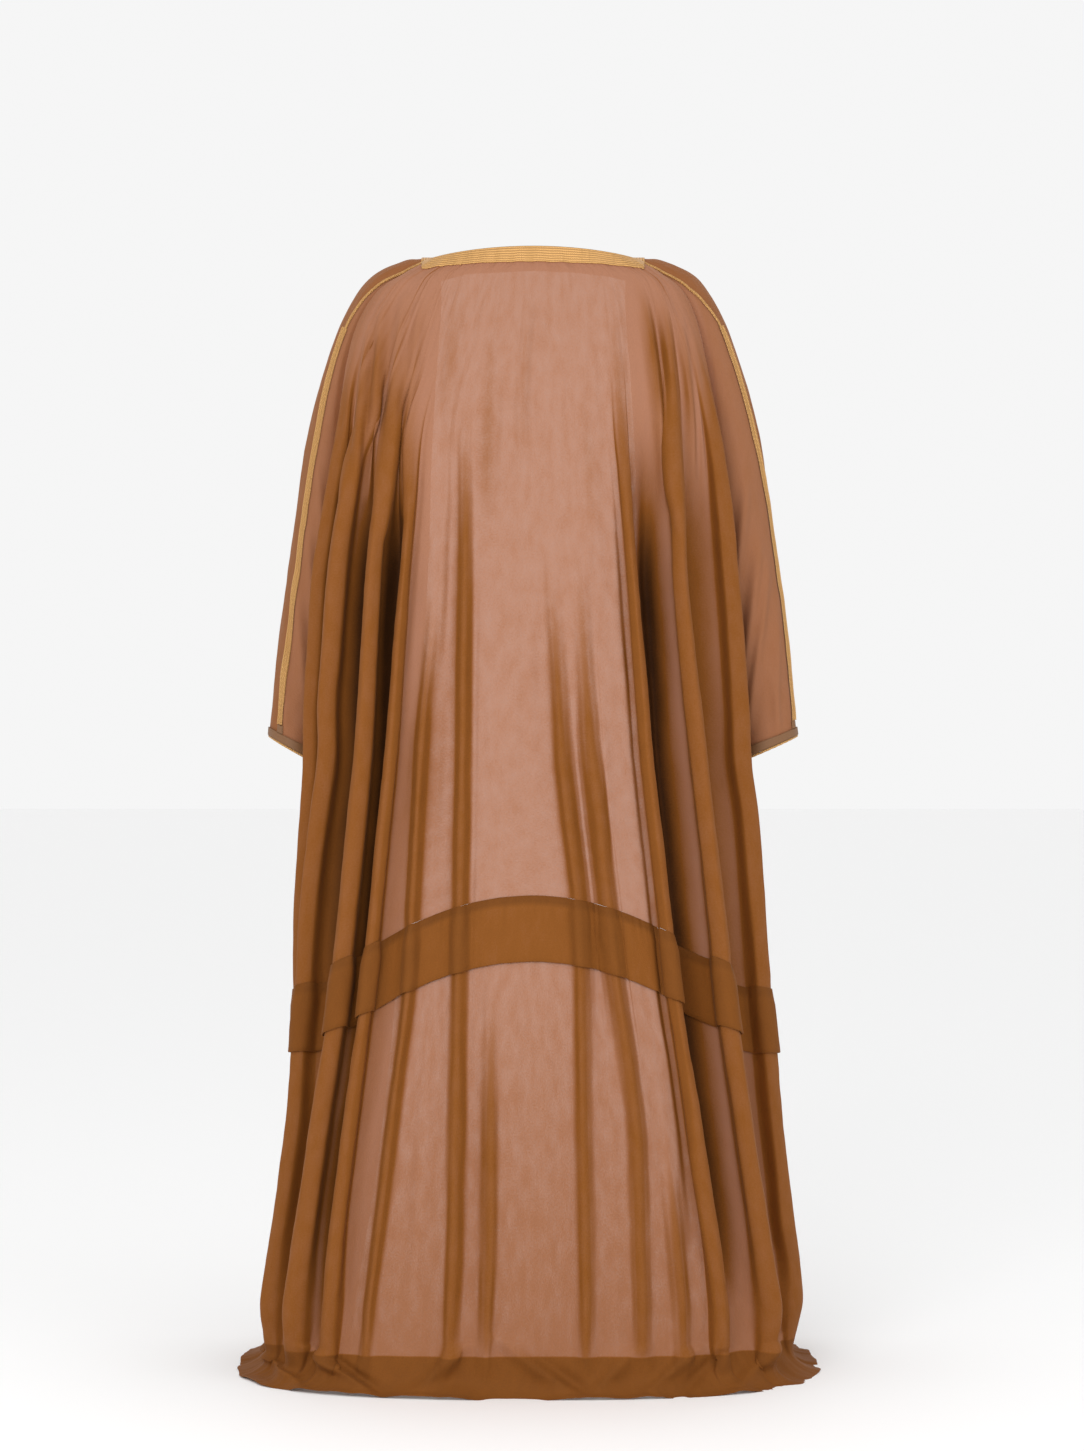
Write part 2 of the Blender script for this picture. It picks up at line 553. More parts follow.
def plain_form(surface):
    """The same surface without its folds: each row averaged over a few centimetres."""
    apart = np.subtract.outer(surface.u, surface.u) / FOLD_REACH
    weights = np.exp(-(apart**2)) * np.gradient(surface.u)
    weights /= weights.sum(axis=1, keepdims=True)
    plain = np.einsum("ij,rjk->rik", weights, surface.points)
    for end, away in ((0, surface.u), (-1, surface.u[-1] - surface.u)):
        held = (surface.points[:, end] - plain[:, end])[:, None] * np.exp(-away / FOLD_REACH)[:, None]
        plain = plain + held
    return Surface(plain)


def fold_tone(surface):
    """How gathered the cloth is at each point: on a fold's crest, on its steep sides and, most, deep in a valley."""
    plain = plain_form(surface)
    proud = ((surface.points - plain.points) * plain.normals).sum(axis=2)
    steep = 1 - np.abs((surface.normals * plain.normals).sum(axis=2))
    crest = np.interp(proud, CREST_PROUD, (0.0, CREST_TONE))
    valley = VALLEY_TONE * np.maximum(0.0, -proud - VALLEY_FROM)
    tone = np.clip(np.maximum(crest, np.minimum(STEEP_TONE * steep, STEEP_MOST)) + valley, 0.0, 1.0)
    share = np.hanning(SOFT_ROWS + 2)[1:-1]
    share /= share.sum()
    longer = np.pad(tone, ((SOFT_ROWS // 2, SOFT_ROWS // 2), (0, 0)), "edge")
    return sum(weight * longer[i : i + len(tone)] for i, weight in enumerate(share))


def laid_down(surface):
    """The same surface with its folds smoothed out where it lies on the floor, and its hem down on it."""
    plain = plain_form(surface)
    lying = np.array([[1 - smooth(height / LYING_BELOW) for height in row] for row in surface.points[:, :, 2]])
    points = surface.points + (plain.points - surface.points) * (0.8 * lying[..., None])
    points[:, :, 2] -= HEM_DROP * lying**4
    return Surface(points)


def crease_height(creases, x, height):
    """How far a point of the cloth is moved out by the creases near it."""
    total = 0.0
    for crease in creases:
        if crease.h_low < height < crease.h_top:
            share = (crease.h_top - height) / (crease.h_top - crease.h_low)
            away = (x - crease.x_top - share * (crease.x_low - crease.x_top)) / crease.half
            if abs(away) < 3:
                ends = math.sin(math.pi * min(1.0, share * 1.02)) ** 0.6
                total += crease.depth * ends * math.exp(-away * away)
    return total


def crinkle(u, v, seed, amount):
    """The fine crinkle of the voile, longer down the cloth than across it."""
    broad = noise.noise(Vector((u * 26, v * 5.5, seed)))
    middle = noise.noise(Vector((u * 58 + 9, v * 14, seed)))
    fine = noise.noise(Vector((u * 110, v * 45 + 5, seed)))
    return amount * (broad + middle * 0.5 + fine * 0.3)


def draped(grid, creases, seed, amount, sewn=(True, True, True, True)):
    """A panel's fine surface with its creases and its crinkle. sewn says which edges are seams: top, foot, first
    and last column."""
    plain = laid_down(Surface(refined(grid)))
    rows, columns = plain.points.shape[:2]
    height_out = np.zeros((rows, columns))
    for r in range(rows):
        for c in range(columns):
            x, _, height = plain.points[r, c]
            edges = (plain.v[r], plain.v[-1] - plain.v[r], plain.u[c], plain.u[-1] - plain.u[c])
            near = min(edge for edge, held in zip(edges, sewn) if held)
            fade = smooth(near / SEWN_EDGE)
            pooled = POOLED * (1 - smooth(height / 0.09)) if height < 0.09 else 0.0
            out = crease_height(creases, x, height) + crinkle(plain.u[c], plain.v[r], seed, amount)
            out += pooled * noise.noise(Vector((plain.u[c] * 11, plain.v[r] * 16, seed + 0.5)))
            height_out[r, c] = fade * out
    return plain.moved(height_out)


def place_mesh(name, points, uv, tone=None):
    """A grid primitive, shaped to these points. uv is in metres along the cloth."""
    rows, columns = points.shape[:2]
    bpy.ops.object.select_all(action="DESELECT")
    bpy.ops.mesh.primitive_grid_add(x_subdivisions=columns - 1, y_subdivisions=rows - 1, size=1)
    piece = bpy.context.object
    piece.name = name
    piece.data.name = name
    placed = points - np.array((0.0, 0.0, SHOULDER_HEIGHT))
    piece.data.vertices.foreach_set("co", placed.astype(np.float32).ravel())
    corners = np.zeros(len(piece.data.loops), dtype=np.int64)
    piece.data.loops.foreach_get("vertex_index", corners)
    piece.data.uv_layers.active.data.foreach_set("uv", uv.reshape(-1, 2)[corners].astype(np.float32).ravel())
    if tone is not None:
        piece.data.attributes.new("tone", "FLOAT", "POINT").data.foreach_set("value", tone.astype(np.float32).ravel())
    piece.data.update()
    bpy.ops.object.shade_smooth()
    return piece


def flat_uv(surface):
    u, v = np.meshgrid(surface.u, surface.v)
    return np.stack((u, v), axis=-1)


def finish_piece(piece, material, slot, *nodes):
    piece.data.materials.clear()
    piece.data.materials.append(material)
    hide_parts(*nodes)
    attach(piece, "root")
    return piece


def close_tube():
    """Joins the first and last lines of the active tube and closes its ends."""
    bpy.ops.object.mode_set(mode="EDIT")
    bpy.ops.mesh.select_all(action="SELECT")
    bpy.ops.mesh.remove_doubles(threshold=0.00001)
    bpy.ops.mesh.select_all(action="SELECT")
    bpy.ops.mesh.fill_holes(sides=12)
    bpy.ops.object.mode_set(mode="OBJECT")


def thicken(piece, wall):
    """Gives a band its thickness, half on each side."""
    bpy.context.view_layer.objects.active = piece
    solid = piece.modifiers.new("Band thickness", "SOLIDIFY")
    solid.thickness = wall
    solid.offset = 0.0
    bpy.ops.object.modifier_apply(modifier=solid.name)
    return piece


# Materials


def new_material(name):
    material = bpy.data.materials.new(name)
    material.use_nodes = True
    return material, material.node_tree, material.node_tree.nodes["Principled BSDF"]


def math_node(tree, operation, first, second=None):
    node = tree.nodes.new("ShaderNodeMath")
    node.operation = operation
    for socket, value in zip(node.inputs, (first, second)):
        if value is None:
            continue
        if isinstance(value, (int, float)):
            socket.default_value = value
        else:
            tree.links.new(value, socket)
    return node.outputs[0]


def crepe_group():
    """Crepe yarn: how dense the cloth is from place to place, and its small relief."""
    group = bpy.data.node_groups.new("Crepe yarn", "ShaderNodeTree")
    group.interface.new_socket("Place", in_out="INPUT", socket_type="NodeSocketVector")
    for name, value in (("Grain", 480.0), ("Cover", 0.70), ("Unevenness", 0.10)):
        socket = group.interface.new_socket(name, in_out="INPUT", socket_type="NodeSocketFloat")
        socket.default_value = value
    group.interface.new_socket("Density", in_out="OUTPUT", socket_type="NodeSocketFloat")
    group.interface.new_socket("Relief", in_out="OUTPUT", socket_type="NodeSocketFloat")
    inside = group.nodes.new("NodeGroupInput")
    outside = group.nodes.new("NodeGroupOutput")
    grain = group.nodes.new("ShaderNodeTexNoise")
    grain.inputs["Detail"].default_value = 3.0
    group.links.new(inside.outputs["Place"], grain.inputs["Vector"])
    group.links.new(inside.outputs["Grain"], grain.inputs["Scale"])
    slub = group.nodes.new("ShaderNodeTexNoise")
    slub.inputs["Scale"].default_value = 42.0
    slub.inputs["Detail"].default_value = 4.0
    stretch = group.nodes.new("ShaderNodeMapping")
    stretch.inputs["Scale"].default_value = (1.7, 0.7, 1.0)
    group.links.new(inside.outputs["Place"], stretch.inputs["Vector"])
    group.links.new(stretch.outputs["Vector"], slub.inputs["Vector"])
    swing = math_node(group, "SUBTRACT", slub.outputs["Fac"], 0.5)
    scaled = math_node(group, "MULTIPLY", swing, inside.outputs["Unevenness"])
    yarn = math_node(group, "SUBTRACT", grain.outputs["Fac"], 0.5)
    yarn_scaled = math_node(group, "MULTIPLY", yarn, inside.outputs["Unevenness"])
    both = math_node(group, "ADD", scaled, yarn_scaled)
    density = math_node(group, "ADD", both, inside.outputs["Cover"])
    group.links.new(density, outside.inputs["Density"])
    group.links.new(grain.outputs["Fac"], outside.inputs["Relief"])
    return group


def use_group(tree, group, **values):
    node = tree.nodes.new("ShaderNodeGroup")
    node.node_tree = group
    for name, value in values.items():
        node.inputs[name].default_value = value
    return node


def sheer_cloth(name, looks, group):
    """One material for the voile: thin and light where it lies flat, denser and darker in its folds."""
    material, tree, shader = new_material(name)
    place = tree.nodes.new("ShaderNodeTexCoord")
    crepe = use_group(tree, group, Grain=looks.grain, Cover=looks.cover, Unevenness=looks.unevenness)
    tree.links.new(place.outputs["UV"], crepe.inputs["Place"])
    tone = tree.nodes.new("ShaderNodeAttribute")
    tone.attribute_name = "tone"
    mottle = math_node(tree, "SUBTRACT", crepe.outputs["Density"], looks.cover)
    shade = math_node(tree, "ADD", tone.outputs["Fac"], mottle)
    ramp = tree.nodes.new("ShaderNodeValToRGB")
    ramp.color_ramp.elements.new(0.45)
    for element, colour in zip(ramp.color_ramp.elements, (looks.thin, looks.fold, looks.deep)):
        element.color = (*colour, 1.0)
    tree.links.new(shade, ramp.inputs["Fac"])
    tree.links.new(ramp.outputs["Color"], shader.inputs["Base Color"])
    gathered = math_node(tree, "MULTIPLY", tone.outputs["Fac"], looks.gathered)
    tree.links.new(math_node(tree, "ADD", crepe.outputs["Density"], gathered), shader.inputs["Alpha"])
    bump = tree.nodes.new("ShaderNodeBump")
    bump.inputs["Strength"].default_value = 0.5
    bump.inputs["Distance"].default_value = 0.0008
    tree.links.new(crepe.outputs["Relief"], bump.inputs["Height"])
    tree.links.new(bump.outputs["Normal"], shader.inputs["Normal"])
    shader.inputs["Roughness"].default_value = 0.62
    shader.inputs["Sheen Weight"].default_value = 0.07
    shader.inputs["Sheen Tint"].default_value = (0.80, 0.45, 0.25, 1.0)
    shader.inputs["Sheen Roughness"].default_value = 0.45
    shader.inputs["Specular IOR Level"].default_value = 0.05
    return material


def rib_group():
    """Ribs across a woven band, counted along the second place coordinate and nicked along the first."""
    group = bpy.data.node_groups.new("Woven ribs", "ShaderNodeTree")
    group.interface.new_socket("Place", in_out="INPUT", socket_type="NodeSocketVector")
    for name, value in (("Rib", 0.0027), ("Stitch", 0.0016), ("Zigzag", 0.0012)):
        socket = group.interface.new_socket(name, in_out="INPUT", socket_type="NodeSocketFloat")
        socket.default_value = value
    group.interface.new_socket("Crest", in_out="OUTPUT", socket_type="NodeSocketFloat")
    inside = group.nodes.new("NodeGroupInput")
    outside = group.nodes.new("NodeGroupOutput")
    apart = group.nodes.new("ShaderNodeSeparateXYZ")
    group.links.new(inside.outputs["Place"], apart.inputs[0])
    stitches = math_node(group, "DIVIDE", apart.outputs["X"], inside.outputs["Stitch"])
    swing = math_node(group, "PINGPONG", stitches, 1.0)
    shift = math_node(group, "MULTIPLY", swing, inside.outputs["Zigzag"])
    along = math_node(group, "ADD", apart.outputs["Y"], shift)
    turns = math_node(group, "DIVIDE", along, inside.outputs["Rib"])
    wave = math_node(group, "SINE", math_node(group, "MULTIPLY", turns, math.tau))
    crest = math_node(group, "ADD", math_node(group, "MULTIPLY", wave, 0.5), 0.5)
    group.links.new(crest, outside.inputs["Crest"])
    return group


def gold_thread(name, light, dark, group, rib, stitch, zigzag, depth, metallic=0.35):
    material, tree, shader = new_material(name)
    place = tree.nodes.new("ShaderNodeTexCoord")
    ribs = use_group(tree, group, Rib=rib, Stitch=stitch, Zigzag=zigzag)
    tree.links.new(place.outputs["UV"], ribs.inputs["Place"])
    blend = tree.nodes.new("ShaderNodeMix")
    blend.data_type = "RGBA"
    blend.inputs["A"].default_value = (*dark, 1.0)
    blend.inputs["B"].default_value = (*light, 1.0)
    tree.links.new(ribs.outputs["Crest"], blend.inputs["Factor"])
    tree.links.new(blend.outputs["Result"], shader.inputs["Base Color"])
    bump = tree.nodes.new("ShaderNodeBump")
    bump.inputs["Strength"].default_value = 0.8
    bump.inputs["Distance"].default_value = depth
    tree.links.new(ribs.outputs["Crest"], bump.inputs["Height"])
    tree.links.new(bump.outputs["Normal"], shader.inputs["Normal"])
    shader.inputs["Metallic"].default_value = metallic
    shader.inputs["Roughness"].default_value = 0.42
    return material


def twill(name, colour, group):
    material, tree, shader = new_material(name)
    place = tree.nodes.new("ShaderNodeTexCoord")
    ribs = use_group(tree, group, Rib=0.0012, Stitch=0.0020, Zigzag=0.0006)
    tree.links.new(place.outputs["UV"], ribs.inputs["Place"])
    blend = tree.nodes.new("ShaderNodeMix")
    blend.data_type = "RGBA"
    blend.inputs["A"].default_value = (*(0.7 * part for part in colour), 1.0)
    blend.inputs["B"].default_value = (*colour, 1.0)
    tree.links.new(ribs.outputs["Crest"], blend.inputs["Factor"])
    tree.links.new(blend.outputs["Result"], shader.inputs["Base Color"])
    shader.inputs["Roughness"].default_value = 0.65
    return material


# Settings


def colour_setting(name, description, value):
    return bpy.props.FloatVectorProperty(
        name=name, description=description, subtype="COLOR", size=3, min=0, max=1, default=value
    )


class BishtCloth(bpy.types.PropertyGroup):
    thin: colour_setting("Thin cloth", "Colour of one flat layer", (0.36, 0.165, 0.098))
    fold: colour_setting("Folded cloth", "Colour on the sides of a fold", (0.215, 0.072, 0.013))
    deep: colour_setting("Deep folds", "Colour deep between folds", (0.045, 0.016, 0.005))
    cover: bpy.props.FloatProperty(
        name="Cover", description="Share of what is behind one flat layer that it hides", default=0.955, subtype="FACTOR"
    )
    gathered: bpy.props.FloatProperty(
        name="Gathered cover", description="How much more a steep fold hides", default=0.20, subtype="FACTOR"
    )
    unevenness: bpy.props.FloatProperty(
        name="Unevenness", description="How much the cover varies from place to place", default=0.13, subtype="FACTOR"
    )
    grain: bpy.props.FloatProperty(name="Grain", description="Crepe grains in a metre", default=480.0)
    crinkle: bpy.props.FloatProperty(
        name="Crinkle", description="Height of the fine crinkle", default=0.0017, unit="LENGTH"
    )


class BishtTrim(bpy.types.PropertyGroup):
    gold_light: colour_setting("Gold thread", "Colour of the ribs of the gold work", (0.72, 0.40, 0.13))
    gold_dark: colour_setting("Gold between", "Colour between the ribs", (0.38, 0.19, 0.06))
    binding: colour_setting("Binding", "Colour of the wrist bindings and tabs", (0.22, 0.10, 0.036))
    band_wall: bpy.props.FloatProperty(
        name="Band thickness", description="Thickness of the woven bands", default=0.0014, unit="LENGTH"
    )
    braid_width: bpy.props.FloatProperty(
        name="Braid width", description="Width of the flat seam braid", default=0.0080, unit="LENGTH"
    )
    cord_width: bpy.props.FloatProperty(
        name="Cord width", description="Thickness of the twisted cord over the shoulder", default=0.0040, unit="LENGTH"
    )


class BishtStage(bpy.types.PropertyGroup):
    floor_colour: colour_setting("Floor", "Colour of the floor", (0.965, 0.965, 0.965))
    world_light: bpy.props.FloatProperty(name="Room light", description="Strength of the even light", default=0.92)
    key_light: bpy.props.FloatProperty(name="Key light", description="Power of the main lamp", default=44.0, unit="POWER")
    fill_light: bpy.props.FloatProperty(name="Fill light", description="Power of the other lamp", default=14.0, unit="POWER")


# Pieces

surfaces = {}  # the fine surface of each panel, for what lies on it
finishes = {}  # the materials, by their short names


def make_finishes(cloth, trim):
    crepe, ribs = crepe_group(), rib_group()
    finishes["cloth"] = sheer_cloth("Sheer brown voile", cloth, crepe)
    light, dark = tuple(trim.gold_light), tuple(trim.gold_dark)
    finishes["band"] = gold_thread("Woven gold band", light, dark, ribs, 0.0034, 0.0022, 0.0007, 0.0007)
    finishes["braid"] = gold_thread("Gold braid", light, dark, ribs, 0.0024, 0.0030, 0.0030, 0.0008)
    finishes["binding"] = twill("Brown twill", tuple(trim.binding), ribs)


class BISHT_OT_panels(bpy.types.Operator):
    """Make the sheer panels: the back, the two fronts and the two sleeves"""

    bl_idname = "bisht.panels"
    bl_label = "Cloth panels"

    def execute(self, context):
        cloth = context.scene.bisht_cloth
        make_finishes(cloth, context.scene.bisht_trim)
        amount = cloth.crinkle
        surfaces["back_upper"] = draped(back_grid(UPPER_LEVELS), BACK_CREASES, 1, amount)
        surfaces["back_lower"] = draped(back_grid(LOWER_LEVELS), BACK_CREASES, 2, amount, (True, False, True, True))
        for side, word in ((1, "left"), (-1, "right")):
            creases = [Crease(c.name, side * c.x_top, c.h_top, side * c.x_low, *c[4:]) for c in FRONT_CREASES]
            upper, lower = front_grid(UPPER_LEVELS, side), front_grid(LOWER_LEVELS, side)
            surfaces[f"front_{word}_upper"] = draped(upper, creases, 3 + side, amount)
            surfaces[f"front_{word}_lower"] = draped(lower, creases, 6 + side, amount, (True, False, True, True))
            sleeve_creases = LEFT_SLEEVE_CREASES if side > 0 else RIGHT_SLEEVE_CREASES
            surfaces[f"sleeve_{word}"] = draped(sleeve_grid(side), sleeve_creases, 9 + side, amount)
        for name, surface in surfaces.items():
            tone = fold_tone(surface)
            if name.endswith("lower"):
                tone = np.maximum(tone, LOWER_TONE * (surface.v / surface.v[-1])[:, None])
                hem_row = int(HEM_LEVEL * ROWS_A_LEVEL)
                tone[hem_row:] = HEM_TONE + SHARE_UNDER * tone[hem_row:]
            if name.startswith("sleeve"):
                tone *= SLEEVE_SHARE
                self.darken_strip(tone, name.split("_")[1])
            piece = place_mesh(f"{name}_cloth", surface.points, flat_uv(surface), tone)
            finish_piece(piece, finishes["cloth"], "Sheer brown cloth", name)
        return {"FINISHED"}

    def darken_strip(self, tone, word):
        """The strip of the sleeve in front of its braid is closer cloth."""
        rows, columns = tone.shape
        braid = np.interp(np.arange(rows) / ROWS_A_LEVEL, np.arange(len(ARM_LEVELS)), SEAM_COLUMNS[word])
        ahead = np.arange(columns)[None, :] / POINTS_A_FOLD - braid[:, None]
        ahead = ahead > 0 if word == "left" else ahead < 0
        tone[ahead] = np.maximum(tone[ahead], STRIP_TONE)


def tuck_layers(upper, lower):
    """The tuck as one folded sheet: from its stitched line down the outside, round its folded edge and up again."""
    top = ROWS_A_LEVEL
    seam = upper.points[-1:] + upper.normals[-1:] * 0.0008
    shares = np.linspace(0.0, 1.0, top + 1)
    puckers = np.zeros((top + 1, lower.points.shape[1]))
    for r in range(top + 1):
        fade = math.exp(-lower.v[r] / 0.016)
        for c in range(lower.points.shape[1]):
            puckers[r, c] = fade * 0.0022 * noise.noise(Vector((lower.u[c] * 150, lower.v[r] * 14, 4.0)))
    rise = 0.0008 + (TUCK_OFF - 0.0008) * np.minimum(1.0, shares * 4)
    normals = lower.normals[: top + 1]
    outer = lower.points[: top + 1] + normals * (rise[:, None] + puckers + 0.0006)[..., None]
    edge = outer[-1:] + (outer[-1:] - outer[-2:-1]) * 0.12 - normals[-1:] * 0.0010
    inner = (lower.points[: top + 1] + normals * TUCK_INNER)[::-1][:-1]
    return Surface(np.concatenate((seam, outer, edge, inner)))


class BISHT_OT_tuck(bpy.types.Operator):
    """Make the horizontal tuck that is folded and stitched across the back and both fronts"""

    bl_idname = "bisht.tuck"
    bl_label = "Tuck"

    def execute(self, context):
        for panel, node in (("back", "tuck_back"), ("front_left", "tuck_front_left"), ("front_right", "tuck_front_right")):
            folded = tuck_layers(surfaces[f"{panel}_upper"], surfaces[f"{panel}_lower"])
            tone = PLY_TONE + SHARE_UNDER * fold_tone(folded)
            tone[:3] = STITCH_TONE
            piece = place_mesh(f"{node}_fold", folded.points, flat_uv(folded), tone)
            finish_piece(piece, finishes["cloth"], "Sheer brown cloth", node)
            surfaces[node] = folded
        return {"FINISHED"}


class BISHT_OT_hem(bpy.types.Operator):
    """Make the turned-up second layer inside the hem"""

    bl_idname = "bisht.hem"
    bl_label = "Turned-up hem"

    def execute(self, context):
        start = int(HEM_LEVEL * ROWS_A_LEVEL)
        for panel, node in (("back", "hem_back"), ("front_left", "hem_front_left"), ("front_right", "hem_front_right")):
            outer = surfaces[f"{panel}_lower"]
            turn = np.linspace(0.0, 1.0, len(outer.points) - start)
            inward = HEM_OFF * np.sqrt(1 - turn**6)
            inside = Surface(outer.points[start:] - outer.normals[start:] * inward[:, None, None])
            tone = PLY_TONE + SHARE_UNDER * fold_tone(inside)
            tone[:1] = STITCH_TONE
            piece = place_mesh(f"{node}_layer", inside.points, flat_uv(inside), tone)
            finish_piece(piece, finishes["cloth"], "Sheer brown cloth", node)
            surfaces[node] = inside
        return {"FINISHED"}


class BISHT_OT_facing(bpy.types.Operator):
    """Make the second layer of cloth inside the neckline, deeper over the shoulders"""

    bl_idname = "bisht.facing"
    bl_label = "Neck facing"

    def execute(self, context):
        back = surfaces["back_upper"]
        places, heights = zip(*FACING_EDGE)
        inside = back.moved(-FACING_OFF)
        columns = np.linspace(6, back.points.shape[1] - 7, 240)
        deepest = 3.9 * ROWS_A_LEVEL
        feet = []
        for column in columns:
            line = np.array([back.at(row, column) for row in range(int(deepest))])
            above = line[:, 2] - np.interp(line[:, 0], places, heights)
            under = np.argmax(above < 0)
            foot = under - above[under] / (above[under] - above[under - 1]) if under else deepest
            feet.append(max(0.5, foot))
        points = [
            [inside.at(share * foot, column) for column, foot in zip(columns, feet)]
            for share in np.linspace(0.0, 1.0, 25)
        ]
        facing = Surface(np.array(points))
        piece = place_mesh("neck_facing_layer", facing.points, flat_uv(facing), np.maximum(fold_tone(facing), PLY_TONE))
        finish_piece(piece, finishes["cloth"], "Sheer brown cloth", "neck_facing")
        surfaces["neck_facing"] = facing
        return {"FINISHED"}


def band_points(rows, uv):
    return np.array(rows), np.array(uv)


class BISHT_OT_bands(bpy.types.Operator):
    """Make the woven gold bands: round the nape, over the shoulders and down the front edges"""

    bl_idname = "bisht.bands"
    bl_label = "Gold bands"

    def execute(self, context):
        trim = context.scene.bisht_trim
        back = surfaces["back_upper"]
        level = ROWS_A_LEVEL
        top = back.points[0]
        picks = np.linspace(1, len(top) - 2, 161)
        across = np.interp(picks, np.arange(len(top)), top[:, 0])
        run = np.interp(picks, np.arange(len(top)), back.u) - back.u[-1] / 2
        block = run[-1] - BAND_END
        points, places = [], []
        for step in range(level + 1):
            line = back.points[step]
            columns = np.interp(across, line[:, 0], np.arange(len(line)))
            points.append([back.at(step, column, BAND_OFF) for column in columns])
            depth = BAND_WIDTH * (1 - step / level)
            places.append([(u, depth) if abs(u) < block else (depth, u) for u in run])
        band = place_mesh("neck_band_woven", *band_points(points, places))
        finish_piece(thicken(band, trim.band_wall), finishes["band"], "Gold thread", "neck_band")

        for side, word in ((1, "left"), (-1, "right")):
            self.front_band(side, word, trim)
        return {"FINISHED"}

    def front_band(self, side, word, trim):
        front = surfaces[f"front_{word}_upper"]
        rows, places = [], []
        width = BAND_WIDTH
        outer, edge = UPPER_LEVELS[0].left + 0.0022, UPPER_LEVELS[0].edge_x
        strips = 8
        run = 0.0
        for turn in np.linspace(88, -64, 16):
            _, y, height = arm_point(0, side, turn)
            line = np.linspace(outer, edge, strips + 1)[::side]
            rows.append([(side * x, y, height + SHOULDER_OFF) for x in line])
        count = len(front.points)
        for row in np.arange(0.3 * ROWS_A_LEVEL, count - 1 + 0.01, 1.0):
            whole = min(int(row), count - 2)
            line = front.points[whole] + (row - whole) * (front.points[whole + 1] - front.points[whole])
            along = np.concatenate(([0.0], np.cumsum(np.linalg.norm(np.diff(line, axis=0), axis=1))))
            wanted = np.linspace(0.0, min(width, along[-1]), strips + 1)
            wanted = along[-1] - wanted[::-1] if side > 0 else wanted
            columns = np.interp(wanted, along, np.arange(len(line)))
            rows.append([front.at(row, column, BAND_OFF) for column in columns])
        rows = np.array(rows)
        centre = rows[:, strips // 2]
        run = np.concatenate(([0.0], np.cumsum(np.linalg.norm(np.diff(centre, axis=0), axis=1))))
        places = [[(distance, width * i / strips) for i in range(strips + 1)] for distance in run]
        band = place_mesh(f"front_band_{word}_woven", rows, np.array(places))
        finish_piece(thicken(band, trim.band_wall), finishes["band"], "Gold thread", f"front_band_{word}")


def strip_profile(across, along, twist, width):
    """Height of a braid over its strip: two twisted cords along its edges and rungs between them."""
    edge = abs(across) * 2
    cord = math.exp(-(((edge - 0.72) / 0.30) ** 2)) * (0.80 + 0.20 * math.sin(along * math.tau / twist + 4 * across))
    rung = 0.45 * (0.5 + 0.5 * math.sin((along + abs(across) * width * 1.6) * math.tau / twist)) if edge < 0.5 else 0.0
    return max(cord, rung)


def seam_strip(sleeve, side, line, rows, width, thick, cords, steps):
    """A strip along a line of the sleeve from one row to another. cords is 2 for the flat braid, 1 for the cord.
    Its forward edge stands a little off the cloth."""
    spine = np.array([sleeve.at(row, np.interp(row, *line)) for row in np.linspace(*rows, 240)])
    run = np.concatenate(([0.0], np.cumsum(np.linalg.norm(np.diff(spine, axis=0), axis=1))))
    count = int(run[-1] / steps)
    points, places = [], []
    offsets = np.linspace(-0.5, 0.5, 13 if cords == 2 else 9)
    for distance in np.linspace(0.0, run[-1], count + 1):
        row = np.interp(distance, run, np.linspace(*rows, 240))
        whole = min(int(row), len(sleeve.points) - 2)
        column = np.interp(row, *line)
        c = int(column)
        girth = np.linalg.norm(sleeve.points[whole, c + 1] - sleeve.points[whole, c])
        cross_line, place = [], []
        for across in offsets:
            if cords == 2:
                rise = thick * strip_profile(across, distance, 0.0030, width)
            else:
                rise = thick * math.sqrt(max(0.0, 1 - (2 * across) ** 2))
                rise *= 0.82 + 0.18 * math.sin((distance + across * width * 1.2) * math.tau / 0.0034)
            lean = (0.5 + side * across) * width * math.sin(BRAID_LEAN) if cords == 2 else 0.0
            cross_line.append(sleeve.at(row, column + across * width / girth, BRAID_OFF + rise + lean))
            place.append((distance, across * width))
        points.append(cross_line)
        places.append(place)
    return np.array(points), np.array(places)


